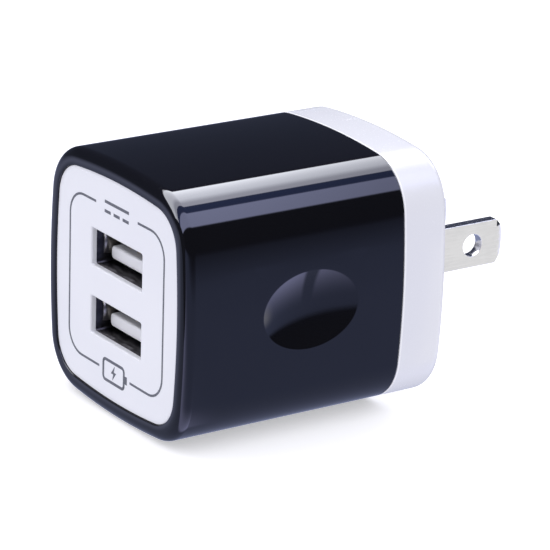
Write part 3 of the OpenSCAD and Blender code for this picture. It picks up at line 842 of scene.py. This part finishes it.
def buildPrint():
    bm = bmesh.new()
    lineFrame(bm, 0, 0, printShape["frameWidth"], printShape["frameHeight"], printShape["frameCorner"],
              printShape["stroke"])
    openGap(bm, printShape["gapTop"], 1)
    openGap(bm, printShape["gapBottom"], -1)
    line, half = printShape["symbolStroke"], printShape["frameHeight"] / 2
    bar, dash, drop = printShape["barLength"], printShape["dashLength"], printShape["dashDrop"]
    above, below = half + drop / 2, half - drop / 2
    flatBar(bm, -bar / 2, bar / 2, above - line / 2, above + line / 2)
    for x in (-1, 0, 1):
        middle = x * (bar - dash) / 2
        flatBar(bm, middle - dash / 2, middle + dash / 2, below - line / 2, below + line / 2)
    shift, nub = printShape["cellShift"], printShape["nubHeight"] / 2
    lineFrame(bm, shift, -half, printShape["cellWidth"], printShape["cellHeight"],
              printShape["cellCorner"], line)
    end = printShape["cellWidth"] / 2 + shift + line / 2
    flatBar(bm, end, end + printShape["nubWidth"], -half - nub, -half + nub)
    lightningBolt(bm, shift, -half, printShape["boltSize"])
    made = bmesh.ops.extrude_face_region(bm, geom=list(bm.faces))["geom"]
    bmesh.ops.translate(bm, verts=vertsIn(made), vec=(0, -printShape["thickness"], 0))
    finishPiece(bm, "facePrint", None, [], weighted=False)


buildPrint()


capShape = {
    "rearRound": 1.6,
    "seamRound": 0.14,
    "rim": 3.2,
    "slotWidth": 1.52,
    "slotHeight": 6.37,
    "slotBorder": 0.5,
    "slotRound": 0.12,
    "floor": 2.4,
    "bossLength": 3.1,
    "bossWidth": 4.5,
    "bossHeight": 9.5,
    "spigotLength": 3.0,
    "spigotGap": 0.08,
    "spigotWall": 1.2,
}

bladeBoxes = {side: boxOf("blade_" + side) for side in ("left", "right")}
bladeMiddles = {side: (low.x + high.x) / 2 for side, (low, high) in bladeBoxes.items()}


def buildCap():
    bm = bmesh.new()
    seam, rear = casing["seam"], 0.0
    spigotOut = casing["wall"] + capShape["spigotGap"]
    spigotIn = spigotOut + capShape["spigotWall"]
    seamOuter = bodyLoop(bm, 0, seam)
    rearOuter = drawLoop(bm, seamOuter, (0, rear - seam, 0))
    rearInner = bridge(bm, rearOuter, bodyLoop(bm, capShape["rim"], rear))
    step = bridge(bm, seamOuter, bodyLoop(bm, spigotOut, seam))
    spigotEnd = drawLoop(bm, step, (0, -capShape["spigotLength"], 0))
    mouth = bridge(bm, spigotEnd, bodyLoop(bm, spigotIn, seam - capShape["spigotLength"]))
    floorLoop = bridge(bm, mouth, bodyLoop(bm, spigotIn, -capShape["floor"]))
    slots, margins, feet = [], [], []
    w, h, grow = capShape["slotWidth"], capShape["slotHeight"], capShape["slotBorder"] * 2
    depth = capShape["floor"] + capShape["bossLength"]
    for x in bladeMiddles.values():
        slot = rectLoop(bm, x, 0, w, h, rear)
        margins.append(bridge(bm, slot, rectLoop(bm, x, 0, w + grow, h + grow, rear)))
        end = drawLoop(bm, slot, (0, -depth, 0))
        top = rectLoop(bm, x, 0, capShape["bossWidth"], capShape["bossHeight"], -depth)
        fill(bm, end, top)
        feet.append(drawLoop(bm, top, (0, capShape["bossLength"], 0)))
        slots.append(slot)
    fill(bm, rearInner, *margins)
    fill(bm, floorLoop, *feet)
    faceOutward(bm)
    roundEdges(bm, rearOuter, capShape["rearRound"], 14)
    roundEdges(bm, seamOuter, capShape["seamRound"], 3)
    for slot in slots:
        roundEdges(bm, slot, capShape["slotRound"], 2)
    finishPiece(bm, "rearCap", "white_cap", ["rear_cap"])


buildCap()


bladeShape = {
    "thickness": 1.5,
    "height": 6.35,
    "length": 17.2,
    "tailY": -6.5,
    "tailHeight": 4.4,
    "shoulderY": -5.5,
    "tipBow": 0.3,
    "tipCut": 1.0,
    "holeY": 11.9,
    "holeDiameter": 3.2,
    "holeBorder": 0.45,
    "edgeRound": 0.05,
    "tipBevel": 1.2,
    "tipThin": 0.42,
}


def bladeOutline(bm, x):
    # half outline from the tip to the tail, mirrored over Z
    before = set(bm.edges)
    half, cut, length = bladeShape["height"] / 2, bladeShape["tipCut"], bladeShape["length"]
    flat = half - cut
    bow = (flat ** 2 + bladeShape["tipBow"] ** 2) / (2 * bladeShape["tipBow"])
    made = bmesh.ops.spin(bm, geom=[bm.verts.new((x, length, 0))], cent=(x, length - bow, 0),
                          axis=(1, 0, 0), dvec=(0, 0, 0), angle=math.asin(flat / bow), steps=6,
                          use_merge=False)
    vert = vertsIn(made["geom_last"])[0]
    for y, z in ((length - bladeShape["tipBow"] - cut, half), (bladeShape["shoulderY"], half),
                 (bladeShape["shoulderY"], bladeShape["tailHeight"] / 2),
                 (bladeShape["tailY"], bladeShape["tailHeight"] / 2), (bladeShape["tailY"], 0)):
        step = bm.verts.new((x, y, z))
        bm.edges.new((vert, step))
        vert = step
    return mirrored(bm, before, "Z")


def holeLoop(bm, x, radius):
    before = set(bm.edges)
    place = Matrix.Translation((x, bladeShape["holeY"], 0)) @ Matrix.Rotation(math.pi / 2, 4, "Y")
    bmesh.ops.create_circle(bm, cap_ends=False, segments=48, radius=radius, matrix=place)
    return freshEdges(bm, before)


def buildBlade(side):
    bm = bmesh.new()
    x = bladeMiddles[side] - bladeShape["thickness"] / 2
    outline = bladeOutline(bm, x)
    hole = holeLoop(bm, x, bladeShape["holeDiameter"] / 2)
    margin = bridge(bm, hole, holeLoop(bm, x, bladeShape["holeDiameter"] / 2 + bladeShape["holeBorder"]))
    fill(bm, outline, margin)
    made = bmesh.ops.extrude_face_region(bm, geom=list(bm.faces))["geom"]
    bmesh.ops.translate(bm, verts=vertsIn(made), vec=(bladeShape["thickness"], 0, 0))
    faceOutward(bm)
    middle, bottom = bladeMiddles[side], bladeShape["length"] - bladeShape["tipBevel"]
    thin = bladeShape["tipThin"] / (bladeShape["thickness"] / 2)
    sliceAt(bm, (0, bottom, 0), (0, 1, 0))
    for v in bm.verts:
        if v.co.y > bottom + 1e-4:
            share = (v.co.y - bottom) / bladeShape["tipBevel"]
            v.co.x = middle + (v.co.x - middle) * (1 - share * thin)
    rims = [e for e in bm.edges if e.calc_face_angle(0) > math.radians(50)
            and abs(e.verts[0].co.x - e.verts[1].co.x) < 1e-3]
    roundEdges(bm, rims, bladeShape["edgeRound"], 3)
    finishPiece(bm, "blade" + side.capitalize(), "plated_blade", ["blade_" + side])


for side in ("left", "right"):
    buildBlade(side)


# each port is a shell with springs, a tongue and its contacts
portShape = {
    "shellWall": 0.3,
    "shellCorner": 0.55,
    "windowWidth": 2.2,
    "windowX": 3.1,
    "windowFrom": 2.5,
    "windowLength": 5.0,
    "springFrom": 0.3,
    "springRoot": 0.05,
    "springMargin": 0.5,
    "springLifts": {1: 0.5, -1: 0.15},
    "sideSpringWidth": 3.2,
    "sideSpringRise": 0.45,
    "sideSpringFrom": 0.9,
    "sideSpringTo": 4.6,
    "sideSpringLift": 0.42,
    "legWidth": 1.2,
    "legLength": 1.9,
    "tongueWidth": 11.1,
    "tongueThickness": 1.84,
    "tongueLow": -1.9,
    "tongueCorner": 0.6,
    "tongueRound": 0.25,
    "tongueRoot": 0.3,
    "blockLength": 2.0,
    "blockRound": 0.2,
    "contactXs": (-3.5, -1.0, 1.0, 3.5),
    "contactWidth": 1.0,
    "contactRound": 0.07,
}


def addSpring(bm, at, across, inward, width, y0, y1, lift):
    # bent leaf: rooted at y1, rising inward, its free end turned back at y0
    path = [(y1, 0.0), (y0 + 0.62 * (y1 - y0), 0.55 * lift), (y0 + 0.26 * (y1 - y0), lift),
            (y0 + 0.12 * (y1 - y0), 0.85 * lift), (y0, 0.25 * lift)]
    across, inward, at = Vector(across), Vector(inward), Vector(at)
    verts = [bm.verts.new(at + Vector((0, y, 0)) + inward * rise - across * width / 2) for y, rise in path]
    edges = [bm.edges.new(pair) for pair in zip(verts, verts[1:])]
    made = bmesh.ops.extrude_edge_only(bm, edges=edges)["geom"]
    bmesh.ops.translate(bm, verts=vertsIn(made), vec=across * width)


def buildShell(name, node):
    low, high = boxOf(node)
    middle = (low.z + high.z) / 2
    wall = portShape["shellWall"]
    back = high.y - portShape["legLength"]
    w, h = high.x - low.x - wall, high.z - low.z - wall
    bm = bmesh.new()
    mouth = rectLoop(bm, 0, middle, w, h, low.y, portShape["shellCorner"])
    drawLoop(bm, mouth, (0, back - low.y, 0))
    left = portShape["windowX"] - portShape["windowWidth"] / 2
    reach = left + portShape["windowWidth"]
    y0 = low.y + portShape["windowFrom"]
    y1 = y0 + portShape["windowLength"]
    cuts = [((x, 0, 0), (1, 0, 0)) for x in (-reach, -left, left, reach)]
    cuts += [((0, y, 0), (0, 1, 0)) for y in (y0, y1)]
    for spot, normal in cuts:
        sliceAt(bm, spot, normal)
    gone = [f for f in bm.faces for c in [f.calc_center_median()]
            if left < abs(c.x) < reach and y0 < c.y < y1]
    bmesh.ops.delete(bm, geom=gone, context="FACES")
    springWidth = portShape["windowWidth"] - portShape["springMargin"]
    for x in (-portShape["windowX"], portShape["windowX"]):
        for hand in (-1, 1):
            addSpring(bm, (x, 0, middle + hand * h / 2), (1, 0, 0), (0, 0, -hand), springWidth,
                      y0 + portShape["springFrom"], y1 + portShape["springRoot"],
                      portShape["springLifts"][hand])
    for hand in (-1, 1):
        addSpring(bm, (hand * (w / 2 - wall), 0, middle + portShape["sideSpringRise"]), (0, 0, 1),
                  (-hand, 0, 0), portShape["sideSpringWidth"], low.y + portShape["sideSpringFrom"],
                  low.y + portShape["sideSpringTo"], portShape["sideSpringLift"])
        for end in (-1, 1):
            z = middle + end * (high.z - low.z - 2 * wall) / 4
            block(bm, (hand * w / 2 - wall / 2, back - 0.02, z - portShape["legWidth"] / 2),
                  (hand * w / 2 + wall / 2, high.y, z + portShape["legWidth"] / 2))
    piece = finishPiece(bm, name, "port_steel", [node], weighted=False)
    skin = piece.modifiers.new("sheet", "SOLIDIFY")
    skin.thickness = wall * 0.001
    skin.offset = 0.0
    skin.use_even_offset = True


def buildTongue(name, node):
    low, high = boxOf(node)
    middle = (low.z + high.z) / 2
    bm = bmesh.new()
    bottom = middle + portShape["tongueLow"]
    half = portShape["tongueWidth"] / 2
    split = high.y - portShape["blockLength"]
    block(bm, (-half, low.y, bottom),
          (half, split + portShape["tongueRoot"], bottom + portShape["tongueThickness"]))
    along = [e for e in bm.edges if abs(e.verts[0].co.y - e.verts[1].co.y) > 1]
    roundEdges(bm, along, portShape["tongueCorner"], 6)
    nose = [e for e in bm.edges if max(v.co.y for v in e.verts) < low.y + 0.01]
    roundEdges(bm, nose, portShape["tongueRound"], 4)
    back = block(bm, (low.x, split, low.z), (high.x, high.y, high.z))
    roundEdges(bm, list({e for v in back for e in v.link_edges}), portShape["blockRound"], 3)
    finishPiece(bm, name, "port_plastic", [node])


def buildContacts(name, node):
    low, high = boxOf(node)
    half = portShape["contactWidth"] / 2
    bm = bmesh.new()
    for x in portShape["contactXs"]:
        strip = block(bm, (x - half, low.y, low.z), (x + half, high.y, high.z))
        roundEdges(bm, list({e for v in strip for e in v.link_edges}), portShape["contactRound"], 2)
    finishPiece(bm, name, "gold_contact", [node])


for level in ("upper", "lower"):
    tag = level.capitalize()
    buildShell("usbShell" + tag, "usb_shell_" + level)
    buildTongue("usbTongue" + tag, "usb_tongue_" + level)
    buildContacts("usbContacts" + tag, "usb_contacts_" + level)


# the pieces inside keep their CAD shapes and get their finishes here
replaced = {n for o in bpy.data.objects if "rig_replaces" in o for n in o["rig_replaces"]}
for name, node in frame["nodes"].items():
    if name in replaced:
        continue
    for holder in node.material_slots:
        key = holder.material.name.split(".")[0]
        holder.material = finishes[key]
print("inside pieces dressed:", len(frame["nodes"]) - len(replaced))


studio = {
    "floorShade": 0.84,
    "floorGlow": 0.42,
    "tentRadius": 1.0,
    "tentHalf": 2.6,
    "tentPower": 10.0,
    # angle about Y from +X towards +Z, and the light seen there
    "tent": [
        (0, (0, 0, 0)), (40.6, (0, 0, 0)), (43.0, (3.1, 3.3, 5.2)),
        (70.9, (3.1, 3.3, 5.2)), (71.9, (0.25, 0.36, 0.95)), (86.0, (0.25, 0.36, 0.95)),
        (87.0, (5.2, 5.3, 6.3)), (95.0, (5.2, 5.3, 6.3)), (105.0, (8.6, 8.8, 10.0)),
        (132.0, (8.9, 9.1, 10.0)), (132.9, (0.045, 0.05, 0.09)), (165, (0.05, 0.06, 0.10)),
        (181, (0.07, 0.08, 0.13)), (191, (0.35, 0.38, 0.60)), (200, (0.62, 0.67, 1.0)),
        (207, (0.32, 0.36, 0.56)), (240, (0.30, 0.34, 0.54)), (270, (0.31, 0.35, 0.58)),
        (300, (0.31, 0.36, 0.62)), (320, (0.31, 0.37, 0.67)), (337, (0.33, 0.39, 0.71)),
        (344, (0.30, 0.36, 0.66)), (351, (0, 0, 0.01)), (360, (0, 0, 0)),
    ],
    # glow low down on both sides of a dark strip along Y; turns are shares of the way round
    "tentGlow": (1.4, 1.45, 2.4),
    "tentStrip": (0.49, 0.555, 0.665, 0.73),
    "tentGlowFall": (0.8, 1.5, 1.0, 0.6),
    "tentGlowTurns": (0.745, 0.775, 0.93, 0.79),
    # pale light below, growing between two distances along Y
    "tentLow": (1.3, 1.32, 1.55),
    "tentLowFrom": (1.4, 1.95),
    "tentLowTurns": (0.62, 0.70, 0.93, 0.86),
    # the upper panels dim between two distances along Y, by a share
    "tentFade": (0.55, 0.69),
    "tentFadeShare": 0.30,
    "tentFadeTurns": (0.110, 0.118, 0.371, 0.367),
    "sky": (1.02, 1.02, 1.095),
    "skySlope": (-0.13, 0.0, 0.145),
    "skyGloss": (0.03, 0.033, 0.05),
    "keyPower": 0.9,
    "keyPlace": (-0.45, -0.55, 0.9),
    "keySize": 0.7,
    "cardLight": 1.08,
    "cardSize": (1, 0.060, 0.022),
    "cardPlace": (0.023, 0.031, -0.007),
}


def stagePiece(bm, name, seenBy):
    mesh = bpy.data.meshes.new(name)
    bm.to_mesh(mesh)
    bm.free()
    piece = bpy.data.objects.new(name, mesh)
    bpy.context.scene.collection.objects.link(piece)
    for ray in ("camera", "diffuse", "glossy", "transmission", "shadow"):
        setattr(piece, "visible_" + ray, ray in seenBy)
    return piece


def makeFloor():
    bm = bmesh.new()
    bmesh.ops.create_grid(bm, x_segments=8, y_segments=8, size=2.5)
    bmesh.ops.translate(bm, vec=(0, 0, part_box("sleeve")[0].z), verts=bm.verts)
    floor = stagePiece(bm, "studioFloor", ("camera",))
    paint = Finish("paleFloor")
    shade = studio["floorShade"]
    paler = shade * 1.03
    body = paint.add("ShaderNodeBsdfPrincipled", {}, {
        "Base Color": paint.mix(paint.noise(30, 3), rgb(shade, shade, shade), rgb(paler, paler, paler)),
        "Roughness": 0.9, "Specular IOR Level": 0.0, "Emission Color": rgb(1, 1, 1),
        "Emission Strength": studio["floorGlow"]})
    paint.close(body)
    floor.data.materials.append(paint.material)


def makeTent():
    # reflecting tent round the charger, seen only in its gloss: long panels parallel to Y
    bm = bmesh.new()
    vert = bm.verts.new((studio["tentRadius"], -studio["tentHalf"], 0))
    bmesh.ops.spin(bm, geom=[vert], cent=(0, 0, 0), axis=(0, -1, 0), dvec=(0, 0, 0),
                   angle=math.tau, steps=96, use_merge=True)
    bmesh.ops.remove_doubles(bm, verts=bm.verts, dist=1e-5)
    drawLoop(bm, list(bm.edges), (0, 2 * studio["tentHalf"], 0))
    tent = stagePiece(bm, "studioTent", ("glossy",))
    paint = Finish("tentPanels")
    turn = paint.maths("ARCTAN2", paint.axis(2), paint.axis(0)) / math.tau
    turn = paint.maths("WRAP", turn, 1.0)
    turn.socket.node.inputs[2].default_value = 0.0
    power = studio["tentPower"]

    def dimmed(tint):
        return tuple(c / power for c in tint) + (1,)

    def between(turns):
        return turn.ramp(turns[0], turns[1]) * turn.ramp(turns[2], turns[3])

    stops = [(angle / 360, dimmed(tint)) for angle, tint in studio["tent"]]
    tint = paint.add("ShaderNodeValToRGB", {"stops": stops}, {"Fac": turn}, "Color")
    along = paint.axis(1)
    strip = studio["tentStrip"]
    glow = along.ramp(strip[2], strip[3]) * along.ramp(*studio["tentGlowFall"])
    glow = along.ramp(strip[1], strip[0]) + glow
    tint = paint.mix(glow * between(studio["tentGlowTurns"]), tint, dimmed(studio["tentGlow"]))
    low = between(studio["tentLowTurns"]) * along.ramp(*studio["tentLowFrom"])
    tint = paint.mix(low, tint, dimmed(studio["tentLow"]))
    above = between(studio["tentFadeTurns"]) * along.ramp(*studio["tentFade"])
    tint = paint.mix(above * studio["tentFadeShare"], tint, rgb(0, 0, 0))
    paint.close(paint.add("ShaderNodeEmission", {}, {"Color": tint, "Strength": power}))
    tent.data.materials.append(paint.material)


def makeCard():
    # a pale card by the blades, which mirror it
    bm = bmesh.new()
    bmesh.ops.create_grid(bm, x_segments=4, y_segments=4, size=0.5)
    bmesh.ops.rotate(bm, cent=(0, 0, 0), matrix=Matrix.Rotation(math.pi / 2, 3, "Y"), verts=bm.verts)
    bmesh.ops.scale(bm, vec=studio["cardSize"], verts=bm.verts)
    bmesh.ops.translate(bm, vec=studio["cardPlace"], verts=bm.verts)
    card = stagePiece(bm, "bladeCard", ("glossy",))
    paint = Finish("cardWhite")
    paint.close(paint.add("ShaderNodeEmission", {}, {
        "Color": rgb(1, 1, 1), "Strength": studio["cardLight"]}))
    card.data.materials.append(paint.material)


def makeLight():
    light = bpy.data.lights.new("softKey", "AREA")
    light.shape = "DISK"
    light.size = studio["keySize"]
    light.energy = studio["keyPower"]
    lamp = bpy.data.objects.new("softKey", light)
    place = Vector(studio["keyPlace"])
    lamp.matrix_world = Matrix.Translation(place) @ place.to_track_quat("Z", "Y").to_matrix().to_4x4()
    lamp.visible_glossy = False
    bpy.context.scene.collection.objects.link(lamp)
    world = bpy.data.worlds.new("studioSky")
    world.use_nodes = True
    tree = world.node_tree
    tree.nodes.clear()

    def add(kind, **settings):
        made = tree.nodes.new(kind)
        for key, value in settings.items():
            setattr(made, key, value)
        return made

    where = add("ShaderNodeTexCoord")
    slope = add("ShaderNodeVectorMath", operation="DOT_PRODUCT")
    slope.inputs[1].default_value = studio["skySlope"]
    tree.links.new(where.outputs["Generated"], slope.inputs[0])
    level = add("ShaderNodeMath", operation="ADD")
    level.inputs[1].default_value = 1.0
    tree.links.new(slope.outputs["Value"], level.inputs[0])
    soft = add("ShaderNodeVectorMath", operation="SCALE")
    soft.inputs[0].default_value = studio["sky"]
    tree.links.new(level.outputs[0], soft.inputs["Scale"])
    path = add("ShaderNodeLightPath")
    mix = add("ShaderNodeMix", data_type="RGBA")
    mix.inputs[7].default_value = tuple(studio["skyGloss"]) + (1,)
    tree.links.new(soft.outputs[0], mix.inputs[6])
    tree.links.new(path.outputs["Is Glossy Ray"], mix.inputs[0])
    sky = add("ShaderNodeBackground")
    tree.links.new(mix.outputs[2], sky.inputs["Color"])
    out = add("ShaderNodeOutputWorld")
    tree.links.new(sky.outputs[0], out.inputs[0])
    bpy.context.scene.world = world


cameraSpot = {
    "place": (0.35369, -0.25877, 0.14950),
    "azimuth": 55.54,
    "elevation": 19.42,
    "roll": 1.82,
    "lens": 220.05,
}


def makeCamera():
    a, e, r = (math.radians(cameraSpot[key]) for key in ("azimuth", "elevation", "roll"))
    ahead = Vector((-math.sin(a) * math.cos(e), math.cos(a) * math.cos(e), -math.sin(e)))
    level = Vector((math.cos(a), math.sin(a), 0))
    rise = level.cross(ahead)
    right = level * math.cos(r) + rise * math.sin(r)
    up = rise * math.cos(r) - level * math.sin(r)
    lens = bpy.data.cameras.new("studioCamera")
    lens.lens = cameraSpot["lens"]
    lens.sensor_width = 36
    lens.clip_start = 0.02
    camera = bpy.data.objects.new("studioCamera", lens)
    turned = Matrix((right, up, -ahead)).transposed().to_4x4()
    camera.matrix_world = Matrix.Translation(cameraSpot["place"]) @ turned
    bpy.context.scene.collection.objects.link(camera)
    bpy.context.scene.camera = camera


makeFloor()
makeTent()
makeCard()
makeLight()
makeCamera()
bpy.context.scene.view_settings.view_transform = "Standard"
print("studio ready")
